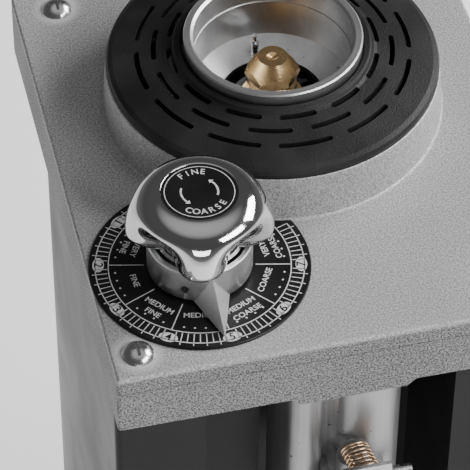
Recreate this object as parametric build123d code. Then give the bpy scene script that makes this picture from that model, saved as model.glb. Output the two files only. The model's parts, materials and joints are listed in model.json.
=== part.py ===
# Shop burr coffee grinder: a cast top plate with an adjusting knob and an open hopper throat,
# on a sheet-steel body with a bag recess, a grinding motor inside and a sprung bag clamp.
# Millimetres. Z is up, the front faces -Y, and the origin is under the middle of the base.
import os
from math import atan2, cos, degrees, hypot, radians, sin

from build123d import *

os.makedirs("parts", exist_ok=True)

# ---- overall sizes
overall_width = 172.0
base_depth = 240.0
plate_top = 380.0             # height of the top plate's upper face
plate_depth = 212.6
axis_to_plate_back = 87.4     # from the burr axis to the back edge of the plate

# ---- feet and base
foot_height = 8.0
foot_radius = 13.0
foot_inset = 22.0
base_height = 14.0
base_wall = 6.0
base_skin = 5.0
base_front_radius = 16.0
base_back_radius = 40.0
cover_sheet = 1.5

# ---- top plate casting
plate_skin = 5.0
skirt_depth = 26.65
skirt_wall = 4.0
plate_back_radius = 12.0
edge_round = 1.2
lip_depth = 3.2
lip_half_width = 19.4
lip_slant = 5.0
boss_base_radius = 64.0
boss_top_radius = 62.3
boss_height = 19.4
boss_wall = 4.5
boss_foot_round = 0.8
dial_boss_gap = 0.2
front_screw_x = 76.2
front_screw_inset = 11.0
back_screw_x = 69.5
back_screw_inset = 20.0
screw_radius = 3.0
screw_head_radius = 6.0
screw_head_height = 3.4
screw_clearance = 0.25

# ---- body shell and posts
sheet = 1.5
body_front_inset = 6.0
body_corner = 2.5
left_column_width = 33.0
right_column_width = 46.0
recess_depth = 52.6
shaft_box_width = 27.0
shaft_box_depth = 24.0
post_radius = 5.0
post_inset = 8.0
chassis_thickness = 3.0
chassis_gap = 0.5

# ---- throat, burrs and chamber
throat_outer_radius = 33.4
throat_bore_radius = 29.75
throat_height = 33.1          # rim above the top plate
register_depth = 10.6
register_relief = 0.3
ledge_height = 6.3
throat_eye_radius = 19.7
eye_height = 1.9
flange_radius = 44.0
flange_thickness = 6.0
burr_radius = 32.0
burr_thickness = 8.0
burr_gap = 0.5
burr_seat_clearance = 0.1
burr_grooves = 18
chamber_inner_radius = 36.0
chamber_floor = 3.0
carrier_radius = 32.0
carrier_thickness = 10.0
sweeper_reach = 3.4
hub_radius = 16.0
rib_count = 4
nut_across_flats = 18.0
lock_nut_height = 10.4
cap_nut_height = 9.4
washer_height = 2.5
washer_radius = 12.0
outlet_width = 20.0
outlet_height = 18.0
duct_wall = 3.0

# ---- vented cover round the throat
cover_skin = 2.5
cover_edge_height = 2.2
cover_rise = 6.0
cover_collar_radius = 37.2
cover_collar_height = 1.8
cover_fit = 0.6
slot_rows = ((38.8, 0.0, 14.0), (44.5, 15.0, 16.5), (50.8, 0.0, 20.5))   # radius, first angle, length
slots_per_row = 12
slot_width = 1.9

# ---- motor
shaft_radius = 6.0
bearing_outer_radius = 16.0
bearing_width = 10.0
race_thickness = 2.6
running_fit = 0.05
ball_count = 8
shield_radius = 52.0
shield_thickness = 13.0
stator_radius = 50.0
stator_height = 54.0
rotor_radius = 27.0
air_gap = 0.4
winding_height = 10.0
motor_bolt_radius = 2.5
motor_bolt_circle = 46.0
motor_bolt_angles = (25, 115, 205, 295)
throat_screw_angles = (90, 210, 330)
fan_radius = 34.0
fan_height = 12.0
fan_blades = 9

# ---- fine-adjustment gear train: knob shaft, nut, lift lever
knob_from_plate_side = 40.1
knob_from_plate_front = 46.6
dial_radius = 40.0
dial_thickness = 1.0
dial_hole_radius = 8.4
bush_radius = 8.0
adjust_radius = 5.0
collar_radius = 19.0
collar_gap = 1.3
collar_height = 13.7
cup_radius = 17.2
cup_depth = 6.5
pointer_reach = 37.2
pointer_half_angle = 20.8
pointer_angle = -89.0
set_screw_radius = 1.8
cap_radius = 26.5
cap_equator = 21.0            # above the top plate
cap_top = 38.5
label_radius = 13.6
label_rim = 0.7
scoop_centre = 38.0
scoop_height = 13.0
scoop_radius = 20.0
scoop_first_angle = -60.0
scoop_round = 2.0
lobes = 4
lever_thickness = 8.0
lever_width = 16.0
fulcrum_distance = 45.5
fulcrum_pin_radius = 3.0
body_gap = 0.3                # between pieces of different moving bodies
nut_height = 16.0
nut_size = 22.0

# ---- chute and bag clamp
chute_half_width = 21.7
chute_front_inset = 6.1
chute_depth = 34.0
chute_drop = 130.0            # spout end below the plate top
chute_wall = 3.2
left_lobe_radius = 6.9
right_lobe_half_width = 11.7
right_lobe_bulge = 5.5
clamp_x = 2.6
clamp_pin_radius = 2.0
clamp_pin_drop = 80.5
clamp_hub_radius = 3.2
clamp_width = 17.0
ear_thickness = 3.0
ear_round = 3.6
thumb_reach = 15.0
thumb_height = 20.0
thumb_lean = 14.0
clamp_sheet = 2.0
jaw_length = 42.0
spring_radius = 5.1
spring_wire = 0.65
spring_coils = 7.5
spring_drop = 69.0

# ---- switch and cable inlet
switch_x = 63.0
switch_z = 300.0
switch_width = 22.0
switch_height = 32.0
rocker_tilt = 7.0
trunnion_radius = 1.5
gland_angle = 45.0
gland_z = 62.0
gland_radius = 8.0
cable_radius = 4.0

# ---- places that follow from the sizes
half_width = overall_width / 2
base_top = foot_height + base_height
plate_back = base_depth / 2
plate_front = plate_back - plate_depth
axis_y = plate_back - axis_to_plate_back
skirt_bottom = plate_top - skirt_depth
plate_under = plate_top - plate_skin
body_front = plate_front + body_front_inset
recess_left = -half_width + left_column_width
recess_right = half_width - right_column_width
recess_back = body_front + recess_depth
knob_x = -half_width + knob_from_plate_side
knob_y = plate_front + knob_from_plate_front
boss_top = plate_top + boss_height
throat_rim = plate_top + throat_height
seat_top = plate_top
burr_top_upper = seat_top
burr_top_lower = burr_top_upper - burr_thickness - burr_gap
carrier_top = burr_top_lower - burr_thickness
carrier_bottom = carrier_top - carrier_thickness
chamber_bottom = carrier_bottom - 4.5
chamber_floor_bottom = chamber_bottom - chamber_floor
chamber_top = seat_top - flange_thickness
hub_top = plate_top - 0.5
washer_top = hub_top + washer_height
upper_shield_top = chamber_floor_bottom - 8.0
upper_shield_bottom = upper_shield_top - shield_thickness
stator_top = upper_shield_bottom - winding_height - 1.0
stator_bottom = stator_top - stator_height
lower_shield_top = stator_bottom - winding_height - 1.0
lower_shield_bottom = lower_shield_top - shield_thickness
fan_top = lower_shield_bottom - 4.0
shaft_bottom = fan_top - fan_height - 8.0
thrust_top = shaft_bottom - body_gap
lever_top = thrust_top - 7.0 - body_gap
lever_bottom = lever_top - lever_thickness
nut_top = lever_bottom - body_gap
lever_run = hypot(knob_x, knob_y - axis_y)
lever_angle = degrees(atan2(knob_y - axis_y, knob_x))
chute_front = plate_front + chute_front_inset
chute_back = chute_front + chute_depth
chute_bottom = plate_top - chute_drop
clamp_pin_y = chute_front - clamp_hub_radius - body_gap
clamp_pin_z = plate_top - clamp_pin_drop
spring_z = plate_top - spring_drop


def box(x0, x1, y0, y1, z0, z1):
    return Pos((x0 + x1) / 2, (y0 + y1) / 2, (z0 + z1) / 2) * Box(x1 - x0, y1 - y0, z1 - z0)


def rod(radius, z0, z1, x=0.0, y=axis_y):
    return Pos(x, y, (z0 + z1) / 2) * Cylinder(radius, z1 - z0)


def ring(outer, inner, z0, z1, x=0.0, y=axis_y):
    return rod(outer, z0, z1, x, y) - rod(inner, z0 - 1, z1 + 1, x, y)


def on_circle(radius, angle, x=0.0, y=axis_y):
    return x + radius * cos(radians(angle)), y + radius * sin(radians(angle))


def spin(points, x=0.0, y=axis_y):
    """A solid of revolution from (radius, height) points round a vertical axis."""
    face = make_face(Polyline(*[(r, 0, z) for r, z in points], close=True))
    return Pos(x, y, 0) * revolve(face, Axis.Z)


def rounded_plan(x0, x1, y0, y1, front_radius, back_radius, z0, z1):
    """A plate with its two front corners and two back corners rounded."""
    body = box(x0, x1, y0, y1, z0, z1)
    front = [e for e in body.edges().filter_by(Axis.Z) if e.center().Y < (y0 + y1) / 2]
    body = fillet(front, front_radius)
    back = [e for e in body.edges().filter_by(Axis.Z) if e.center().Y > (y0 + y1) / 2]
    return fillet([e for e in back if abs(e.center().Y - y1) < 0.01], back_radius)


def hexagon(across_flats, z0, z1, x=0.0, y=axis_y, turn=0.0):
    outline = RegularPolygon(across_flats / 2, 6, major_radius=False, rotation=turn)
    return Pos(x, y, z0) * extrude(outline, z1 - z0)


def save(name, shape):
    export_step(shape, f"parts/{name}.step")


def group(solids):
    return Compound(children=list(solids))


corner_screws = [
    (sx * front_screw_x, plate_front + front_screw_inset) for sx in (-1, 1)
] + [(sx * back_screw_x, plate_back - back_screw_inset) for sx in (-1, 1)]
foot_places = [
    (sx * (half_width - foot_inset), sy * (base_depth / 2 - foot_inset))
    for sx in (-1, 1) for sy in (-1, 1)
]
post_places = [
    (-half_width + post_inset, body_front + post_inset + 4.0),
    (half_width - post_inset, body_front + post_inset + 4.0),
    (-50.0, axis_y + 54.0),
    (50.0, axis_y + 54.0),
]


def make_base():
    plan = (-half_width, half_width, -base_depth / 2, base_depth / 2)
    body = rounded_plan(*plan, base_front_radius, base_back_radius, foot_height, base_top)
    top_edges = body.faces().sort_by(Axis.Z)[-1].edges()
    body = fillet(top_edges, 2.5)
    inner = rounded_plan(
        -half_width + base_wall, half_width - base_wall,
        -base_depth / 2 + base_wall, base_depth / 2 - base_wall,
        base_front_radius - base_wall, base_back_radius - base_wall,
        foot_height - 1, base_top - base_skin)
    body -= inner
    for x, y in foot_places:
        body += rod(7.0, foot_height + cover_sheet, base_top - base_skin + 0.5, x, y)
    for x, y in foot_places:
        body -= rod(2.6, foot_height - 1, foot_height + 9, x, y)
    save("base_casting", body)
    gap = 0.4
    cover = rounded_plan(
        -half_width + base_wall + gap, half_width - base_wall - gap,
        -base_depth / 2 + base_wall + gap, base_depth / 2 - base_wall - gap,
        base_front_radius - base_wall - gap, base_back_radius - base_wall - gap,
        foot_height, foot_height + cover_sheet)
    for x, y in foot_places:
        cover -= rod(2.6, foot_height - 1, foot_height + 3, x, y)
    for row in range(5):
        slot_y = -32.0 + 16.0 * row
        cover -= box(-24, 24, slot_y - 2, slot_y + 2, foot_height - 1, foot_height + 3)
    save("base_cover", cover)
    feet = []
    screws = []
    for x, y in foot_places:
        foot = spin([(0, 3.4), (5.2, 3.4), (5.2, 0), (foot_radius - 1.5, 0), (foot_radius, 1.5),
                     (foot_radius - 2.5, foot_height), (0, foot_height)], x, y)
        feet.append(foot - rod(2.6, -1, foot_height + 1, x, y))
        screw = rod(2.5, 3.4, foot_height + 9, x, y) + rod(4.6, 1.4, 3.4, x, y)
        screws.append(screw - box(x - 0.6, x + 0.6, y - 3.4, y + 3.4, 0, 2.4))
    save("feet", group(feet))
    save("foot_screws", group(screws))


def make_top_plate():
    plan = (-half_width, half_width, plate_front, plate_back)
    body = rounded_plan(*plan, 1.5, plate_back_radius, skirt_bottom, plate_top)
    lip = make_face(Polyline(
        (-lip_half_width, 0, skirt_bottom - lip_depth),
        (lip_half_width, 0, skirt_bottom - lip_depth),
        (lip_half_width + lip_slant, 0, skirt_bottom + 1),
        (-lip_half_width - lip_slant, 0, skirt_bottom + 1), close=True))
    body += Pos(0, plate_front, 0) * extrude(lip, skirt_wall, dir=(0, 1, 0))
    body = fillet(body.faces().sort_by(Axis.Z)[-1].edges(), edge_round)
    body -= rounded_plan(
        -half_width + skirt_wall, half_width - skirt_wall,
        plate_front + skirt_wall, plate_back - skirt_wall,
        2.0, plate_back_radius - skirt_wall, skirt_bottom - 1, plate_under)
    body += spin([(0, plate_top - 0.5), (boss_base_radius + boss_foot_round, plate_top - 0.5),
                  (boss_base_radius + boss_foot_round, plate_top),
                  (boss_base_radius + 0.45, plate_top + 0.45),
                  (boss_base_radius, plate_top + boss_foot_round),
                  (boss_top_radius + 0.3, boss_top - 0.5),
                  (boss_top_radius - 0.3, boss_top), (0, boss_top)])
    body -= rod(boss_top_radius - boss_wall, plate_under - 2, boss_top + 1)
    for x, y in corner_screws:
        body += rod(7.0, skirt_bottom + chassis_thickness, plate_under + 0.5, x, y)
    for x, y in corner_screws:
        body -= rod(screw_radius + screw_clearance, skirt_bottom - 1, plate_top + 1, x, y)
    body -= rod(bush_radius, plate_under - 1, plate_top + 1, knob_x, knob_y)
    save("top_plate", body)


def pan_head(x, y, z):
    """A domed cross-recessed head that sits on height z."""
    dome_radius = (screw_head_radius ** 2 + screw_head_height ** 2) / (2 * screw_head_height)
    ball = Pos(x, y, z + screw_head_height - dome_radius) * Sphere(dome_radius)
    head = ball & rod(screw_head_radius, z, z + screw_head_height + 1, x, y)
    cross = Compound(children=[
        box(x - 3.3, x + 3.3, y - 0.6, y + 0.6, z + 1.4, z + 5),
        box(x - 0.6, x + 0.6, y - 3.3, y + 3.3, z + 1.4, z + 5)])
    return head - cross


def make_plate_screws():
    screws = []
    for x, y in corner_screws:
        screws.append(pan_head(x, y, plate_top) + rod(screw_radius, skirt_bottom, plate_top + 0.2, x, y))
    save("plate_screws", group(screws))


def make_chassis():
    edge = skirt_wall + chassis_gap
    top = skirt_bottom + chassis_thickness
    body = rounded_plan(
        -half_width + edge, half_width - edge, plate_front + edge, plate_back - edge,
        2.0, plate_back_radius - edge, skirt_bottom, top)
    body -= rod(flange_radius + 1.0, skirt_bottom - 1, top + 1)
    body -= box(-chute_half_width - 1, chute_half_width + 1, plate_front, chute_back + 1,
                skirt_bottom - 1, top + 1)
    duct_half = outlet_width / 2 + duct_wall + 0.5
    body -= box(-duct_half, duct_half, chute_back, axis_y, skirt_bottom - 1, top + 1)
    body -= rod(adjust_radius + 0.3, skirt_bottom - 1, top + 1, knob_x, knob_y)
    for x, y in corner_screws:
        body -= rod(screw_radius, skirt_bottom - 1, top + 1, x, y)
    for angle in (25, 155, 205, 335, 90, 60, 120):
        x, y = on_circle(58.0, angle)
        body -= rod(6.0, skirt_bottom - 1, top + 1, x, y)
    save("chassis_plate", body)
    posts = [rod(post_radius, base_top, skirt_bottom, x, y) for x, y in post_places]
    save("corner_posts", group(posts))


def shell_outline(offset):
    """The outer wrap's plan line, moved inwards by offset: two sides and a round back."""
    side = half_width - offset
    left = Line((-side, body_front + offset), (-side, axis_y))
    back = ThreePointArc((-side, axis_y), (0, axis_y + side), (side, axis_y))
    right = Line((side, axis_y), (side, body_front + offset))
    front = Line((side, body_front + offset), (-side, body_front + offset))
    return make_face([left, back, right, front])


def make_shell():
    height = skirt_bottom - base_top
    outer = Pos(0, 0, base_top) * extrude(shell_outline(0), height)
    corners = [e for e in outer.edges().filter_by(Axis.Z) if e.center().Y < body_front + 1]
    outer = fillet(corners, body_corner)
    inner = Pos(0, 0, base_top - 1) * extrude(shell_outline(sheet), height + 2)
    body = outer - inner
    body -= box(recess_left, recess_right, body_front - 1, body_front + 20, 0, plate_top)
    box_front = recess_back - shaft_box_depth
    z = (base_top, skirt_bottom)
    body += box(recess_left - sheet, recess_left, body_front, box_front + sheet, *z)
    body += box(recess_right, recess_right + sheet, body_front, recess_back + sheet, *z)
    for level in range(6):
        z = base_top + 26 + 9 * level
        for angle in (70, 90, 110):
            slot = Box(8, 22, 3.4)
            x, y = on_circle(half_width, angle)
            body -= Pos(x, y, z) * Rot(0, 0, angle) * slot
    for side in (-1, 1):
        for level in range(5):
            z = base_top + 30 + 10 * level
            body -= box(side * half_width - 4, side * half_width + 4, axis_y - 55, axis_y - 15,
                        z - 1.8, z + 1.8)
    hole = Rot(0, 0, gland_angle) * Rot(0, 90, 0) * Cylinder(gland_radius, 40)
    x, y = on_circle(half_width, gland_angle)
    body -= Pos(x, y, gland_z) * hole
    body -= box(switch_x - switch_width / 2 + 1, switch_x + switch_width / 2 - 1,
                body_front - 2, body_front + 4,
                switch_z - switch_height / 2 + 1, switch_z + switch_height / 2 - 1)
    save("body_shell", body)


def make_recess_panel():
    """The recess's back wall, with a boxed corner that hides the adjusting shaft."""
    top = skirt_bottom - 10.0
    box_right = recess_left + shaft_box_width
    box_front = recess_back - shaft_box_depth
    z = (base_top, top)
    body = box(recess_left, box_right, box_front, box_front + sheet, *z)
    body += box(box_right - sheet, box_right, box_front, recess_back + sheet, *z)
    body += box(box_right - sheet, recess_right, recess_back, recess_back + sheet, *z)
    screws = []
    for z in (base_top + 30, (base_top + top) / 2, top - 14):
        for x in (box_right + 8, recess_right - 8):
            head = Pos(x, recess_back - 0.8, z) * Rot(90, 0, 0) * Cylinder(3.4, 1.6)
            stem = Pos(x, recess_back + 2, z) * Rot(90, 0, 0) * Cylinder(1.7, 6)
            screws.append(head + stem)
            body -= stem
    save("recess_panel", body)
    save("recess_panel_screws", group(screws))


def make_throat():
    """The fixed upper burr carrier: throat tube, funnel ledge and burr seat in one turned piece."""
    register_z = throat_rim - register_depth
    low_bore = throat_bore_radius - register_relief
    ledge_z = plate_top + ledge_height
    body = spin([
        (throat_eye_radius, seat_top), (burr_radius + burr_seat_clearance, seat_top),
        (burr_radius + burr_seat_clearance, chamber_top), (flange_radius, chamber_top),
        (flange_radius, chamber_top + flange_thickness + 2),
        (throat_outer_radius, chamber_top + flange_thickness + 2),
        (throat_outer_radius, throat_rim - 0.5), (throat_outer_radius - 0.5, throat_rim),
        (throat_bore_radius + 1.0, throat_rim), (throat_bore_radius, throat_rim - 0.8),
        (throat_bore_radius, register_z), (low_bore, register_z),
        (low_bore, ledge_z), (throat_eye_radius, plate_top + eye_height)])
    for angle in throat_screw_angles:
        x, y = on_circle(flange_radius - 4, angle)
        body -= rod(1.7, chamber_top - 1, plate_top + 5, x, y)
    pin_x, pin_y = on_circle(22.5, 93.5)
    body -= rod(1.8, plate_top + 1.5, plate_top + 9.0, pin_x, pin_y)
    save("throat", body)
    screws = []
    for angle in throat_screw_angles:
        x, y = on_circle(flange_radius - 4, angle)
        top = chamber_top + flange_thickness + 2
        screws.append(rod(1.6, chamber_top - 8, top, x, y) + rod(3.0, top, top + 2, x, y))
    save("throat_screws", group(screws))
    pin = rod(1.8, plate_top + 1.5, plate_top + 9.0, pin_x, pin_y)
    pin += rod(0.9, plate_top + 9.0, plate_top + 12.5, pin_x, pin_y)
    save("hopper_pin", pin)


def burr(z0, z1, grooved_up):
    body = ring(burr_radius, throat_eye_radius, z0, z1)
    z = z1 if grooved_up else z0
    cutter = Box(22, 2.4, 2.4)
    for step in range(burr_grooves):
        angle = step * 360 / burr_grooves
        x, y = on_circle((burr_radius + throat_eye_radius) / 2 + 3, angle)
        body -= Pos(x, y, z) * Rot(0, 0, angle + 18) * Rot(45, 0, 0) * cutter
    for angle in (0, 120, 240):
        x, y = on_circle((burr_radius + throat_eye_radius) / 2, angle + 10)
        body -= rod(2.1, z0 - 1, z1 + 1, x, y)
    return body


def burr_screws(z0, z1):
    screws = []
    for angle in (0, 120, 240):
        x, y = on_circle((burr_radius + throat_eye_radius) / 2, angle + 10)
        screws.append(rod(1.9, z0, z1, x, y))
    return group(screws)


def make_burrs():
    save("upper_burr", burr(burr_top_upper - burr_thickness, burr_top_upper, False))
    save("lower_burr", burr(carrier_top, burr_top_lower, True))
    save("upper_burr_screws", burr_screws(burr_top_upper - burr_thickness + 1.5, burr_top_upper))
    save("lower_burr_screws", burr_screws(carrier_top, burr_top_lower - 1.5))


def make_chamber():
    body = rod(flange_radius, chamber_floor_bottom, chamber_top)
    body -= rod(chamber_inner_radius, chamber_bottom, chamber_top + 1)
    body -= rod(shaft_radius + 0.6, chamber_floor_bottom - 1, chamber_bottom + 1)
    half = outlet_width / 2
    low = chamber_bottom + 1.0
    high = low + outlet_height
    back = axis_y - chamber_inner_radius + 4
    body += box(-half - duct_wall, half + duct_wall, chute_back, back - 3, low - duct_wall, high + 1)
    body -= rod(chamber_inner_radius, chamber_bottom, chamber_top + 1)
    body -= box(-half, half, chute_back - 1, back + 4, low, high - 1)
    for angle in throat_screw_angles:
        x, y = on_circle(flange_radius - 4, angle)
        body -= rod(1.6, chamber_top - 8, chamber_top + 1, x, y)
    save("grinding_chamber", body)


def make_carrier():
    body = rod(carrier_radius, carrier_bottom, carrier_top)
    body += rod(hub_radius, carrier_top - 1, hub_top)
    for step in range(rib_count):
        angle = 20 + step * 360 / rib_count
        x, y = on_circle(14.0, angle)
        body += Pos(x, y, hub_top + 0.6) * Rot(0, 0, angle) * Box(4, 1.6, 3)
    for angle in (0, 120, 240):
        x, y = on_circle(carrier_radius, angle)
        body += Pos(x, y, carrier_bottom + 4) * Rot(0, 0, angle) * Box(2 * sweeper_reach, 5, 8)
    body -= rod(shaft_radius, carrier_bottom - 1, hub_top + 5)
    save("lower_burr_carrier", body)
    save("carrier_washer", ring(washer_radius, shaft_radius, hub_top, washer_top))


def tapered_nut(z0, z1, turn, top_radius):
    """A hexagonal nut whose corners are turned away by a steep cone at the top and bottom."""
    tall = z1 - z0
    across_corners = nut_across_flats / cos(radians(30)) / 2
    blank = hexagon(nut_across_flats, z0, z1, turn=turn)
    cone = spin([(0, z0), (across_corners - 1.3, z0), (across_corners, z0 + 1.3),
                 (across_corners, z0 + 0.25 * tall), (top_radius, z1), (0, z1)])
    return blank & cone


def make_shaft_nuts():
    lock_top = washer_top + lock_nut_height
    lock = tapered_nut(washer_top, lock_top, 22, nut_across_flats / 2)
    save("lock_nut", lock - rod(shaft_radius, washer_top - 1, lock_top + 1))
    cap_top_z = lock_top + cap_nut_height
    cap = tapered_nut(lock_top, cap_top_z, -8, 5.6)
    cap -= rod(shaft_radius, lock_top - 1, lock_top + 6)
    cap -= spin([(0, cap_top_z - 0.9), (2.2, cap_top_z), (2.2, cap_top_z + 1), (0, cap_top_z + 1)])
    save("cap_nut", cap)
    return lock_top + 5.5


def make_cover():
    """The black plastic ring on the boss, vented by three rows of curved slots."""
    inner = throat_outer_radius + cover_fit
    edge = boss_top + cover_edge_height
    crown = edge + cover_rise
    collar = crown + cover_collar_height
    body = spin([
        (boss_top_radius, boss_top), (boss_top_radius, edge - 0.6),
        (boss_top_radius - 0.7, edge + 0.7), (boss_top_radius - 2.4, edge + 1.5),
        (cover_collar_radius + 1.6, crown - 0.2), (cover_collar_radius + 0.4, crown + 0.4),
        (cover_collar_radius - 0.4, collar - 0.3), (cover_collar_radius - 1.2, collar),
        (inner + 0.8, collar), (inner, collar - 0.8),
        (inner, crown - cover_skin), (cover_collar_radius, crown - cover_skin),
        (boss_top_radius - 6, edge - cover_skin + 1), (boss_top_radius - 6, boss_top)])
    for radius, first, length in slot_rows:
        span = degrees((length - slot_width) / radius)
        for step in range(slots_per_row):
            middle = -90 + first + step * 360 / slots_per_row
            arc = CenterArc((0, 0), radius, middle - span / 2, span)
            cutter = extrude(make_slot(arc), 12)
            body -= Pos(0, axis_y, boss_top + 0.5) * cutter
    save("vented_cover", body)


def make_slot(arc):
    """A curved slot with round ends: the band swept along an arc."""
    outer = offset(arc, slot_width / 2, side=Side.BOTH)
    return make_face(outer.edges())


def bearing(z0):
    """One ball bearing as (outer race and balls, inner race); the races run in different bodies."""
    z1 = z0 + bearing_width
    inner_radius = shaft_radius + race_thickness
    outer_inner = bearing_outer_radius - race_thickness
    middle = (inner_radius + outer_inner) / 2
    ball = (outer_inner - inner_radius) / 2 - 0.06
    solids = [ring(bearing_outer_radius, outer_inner, z0, z1)]
    for step in range(ball_count):
        x, y = on_circle(middle, step * 360 / ball_count)
        solids.append(Pos(x, y, (z0 + z1) / 2) * Sphere(ball))
    return solids, ring(inner_radius, shaft_radius, z0, z1)


def make_motor():
    bore = bearing_outer_radius + running_fit
    bolt_places = [on_circle(motor_bolt_circle, angle) for angle in motor_bolt_angles]
    for name, low, high in (
            ("upper_shield", upper_shield_bottom, upper_shield_top),
            ("lower_shield", lower_shield_bottom, lower_shield_top)):
        shield = ring(shield_radius, bore, low, high)
        for x, y in bolt_places:
            shield -= rod(motor_bolt_radius, low - 1, high + 1, x, y)
        for angle in (0, 60, 120, 180, 240, 300):
            x, y = on_circle(32.0, angle)
            shield -= rod(7.0, low - 1, high + 1, x, y)
        save(name, shield)
    stator = ring(stator_radius, rotor_radius + air_gap, stator_bottom, stator_top)
    for x, y in bolt_places:
        stator -= rod(motor_bolt_radius, stator_bottom - 1, stator_top + 1, x, y)
    save("stator_core", stator)
    coils = []
    for low in (stator_bottom - winding_height, stator_top):
        coil = ring(41.5, 29.5, low, low + winding_height)
        coils.append(fillet(coil.edges(), 2.0))
    save("stator_windings", group(coils))
    bolts = []
    for x, y in bolt_places:
        bolt = rod(motor_bolt_radius, lower_shield_bottom - 1, upper_shield_top, x, y)
        bolts.append(bolt + hexagon(8.0, lower_shield_bottom - 4, lower_shield_bottom, x, y))
    save("motor_bolts", group(bolts))
    spacers = []
    for angle in motor_bolt_angles:
        x, y = on_circle(motor_bolt_circle + 2.4, angle)
        spacers.append(rod(3.4, upper_shield_top, skirt_bottom, x, y))
    save("motor_spacers", group(spacers))
    save("rotor_core", ring(rotor_radius, shaft_radius, stator_bottom - 2, stator_top + 2))
    upper_outer, upper_inner = bearing(upper_shield_bottom + 1.5)
    lower_outer, lower_inner = bearing(lower_shield_bottom + 1.5)
    save("bearing_outer_races", group(upper_outer + lower_outer))
    save("bearing_inner_races", group([upper_inner, lower_inner]))
    fan = ring(12.0, shaft_radius, fan_top - fan_height, fan_top)
    fan += ring(fan_radius, shaft_radius, fan_top - 2.0, fan_top)
    for step in range(fan_blades):
        angle = step * 360 / fan_blades
        x, y = on_circle(22.0, angle)
        blade = Pos(x, y, fan_top - fan_height / 2) * Rot(0, 0, angle + 12) * Box(21, 1.8, fan_height)
        fan += blade
    save("cooling_fan", fan - rod(shaft_radius, fan_top - 30, fan_top + 5))


def make_motor_shaft(top):
    shaft = rod(shaft_radius, shaft_bottom, top)
    save("motor_shaft", chamfer(shaft.edges(), 0.8))


def make_adjuster():
    """Knob shaft, travelling nut, lift lever and its bracket."""
    shaft = rod(adjust_radius, nut_top - nut_height - 14, plate_top + 14, knob_x, knob_y)
    save("adjusting_shaft", chamfer(shaft.edges(), 0.6))
    clips = [
        ring(adjust_radius + 3, adjust_radius, skirt_bottom - 1.2 - body_gap, skirt_bottom - body_gap,
             knob_x, knob_y),
        ring(adjust_radius + 3, adjust_radius, skirt_bottom + chassis_thickness + body_gap,
             skirt_bottom + chassis_thickness + body_gap + 1.2, knob_x, knob_y)]
    save("shaft_clips", group(clips))
    bush = rod(bush_radius, plate_under - 4, plate_top + dial_thickness + 0.4, knob_x, knob_y)
    bush += rod(bush_radius + 3, plate_under - 4, plate_under, knob_x, knob_y)
    save("knob_bush", bush - rod(adjust_radius + running_fit, plate_under - 6, plate_top + 5, knob_x, knob_y))
    nut = box(knob_x - nut_size / 2, knob_x + nut_size / 2, knob_y - 8, knob_y + 8,
              nut_top - nut_height, nut_top)
    nut -= rod(adjust_radius + running_fit, nut_top - 30, nut_top + 2, knob_x, knob_y)
    save("travelling_nut", fillet(nut.edges().filter_by(Axis.Z), 2.0))
    guide_x = knob_x - nut_size / 2 - body_gap
    guide = box(guide_x - 3, guide_x, knob_y - 9, knob_y + 9, nut_top - nut_height - 12, nut_top + 4)
    foot_low = nut_top - nut_height - 14
    guide += box(-half_width + sheet, knob_x + 9, knob_y - 9, knob_y + 9, foot_low, foot_low + 4)
    guide += box(-half_width + sheet, -half_width + sheet + 3, knob_y - 9, knob_y + 9,
                 foot_low, foot_low + 24)
    guide -= rod(adjust_radius + running_fit, foot_low - 1, foot_low + 5, knob_x, knob_y)
    save("shaft_foot_bracket", guide)
    place = Pos(0, axis_y, 0) * Rot(0, 0, lever_angle)
    middle = (lever_bottom + lever_top) / 2
    length = lever_run + fulcrum_distance
    bar = Pos((lever_run - fulcrum_distance) / 2, 0, middle) * Box(length, lever_width, lever_thickness)
    bar += Pos(lever_run, 0, middle) * Cylinder(lever_width / 2 + 2, lever_thickness)
    bar += Pos(-fulcrum_distance, 0, middle) * Rot(90, 0, 0) * Cylinder(lever_thickness / 2 + 2, lever_width)
    bar -= Pos(lever_run, 0, middle) * Cylinder(adjust_radius + 1.0, lever_thickness + 4)
    bar -= Pos(-fulcrum_distance, 0, middle) * Rot(90, 0, 0) * Cylinder(
        fulcrum_pin_radius + running_fit, lever_width + 2)
    save("lift_lever", place * bar)
    ear_gap = lever_width / 2 + body_gap
    ears = []
    for side in (-1, 1):
        y = side * (ear_gap + 2)
        low = middle - 8
        ears.append(Pos(-fulcrum_distance, y, (low + lower_shield_bottom) / 2) * Box(
            11, 4, lower_shield_bottom - low))
    bracket = ears[0] + ears[1]
    bracket += Pos(-fulcrum_distance, 0, lower_shield_bottom - 1.5) * Box(11, 2 * ear_gap + 8, 3)
    hole = Pos(-fulcrum_distance, 0, middle) * Rot(90, 0, 0) * Cylinder(fulcrum_pin_radius, 60)
    save("fulcrum_bracket", place * (bracket - hole))
    pin = Pos(-fulcrum_distance, 0, middle) * Rot(90, 0, 0) * Cylinder(
        fulcrum_pin_radius, 2 * (ear_gap + 4) + 4)
    save("fulcrum_pin", place * pin)
    cap = rod(9.0, thrust_top - 7.0, thrust_top - 1.0)
    cap += rod(5.0, thrust_top - 2.0, thrust_top)
    save("thrust_cap", cap)


def make_dial():
    dial = ring(dial_radius, dial_hole_radius, plate_top, plate_top + dial_thickness, knob_x, knob_y)
    top_edge = dial.edges().filter_by(GeomType.CIRCLE).group_by(SortBy.RADIUS)[-1].sort_by(Axis.Z)[-1]
    dial = chamfer(top_edge, 0.3)
    clear = boss_base_radius + boss_foot_round + dial_boss_gap
    save("dial_plate", dial - rod(clear, plate_top - 1, plate_top + 3))


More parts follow.
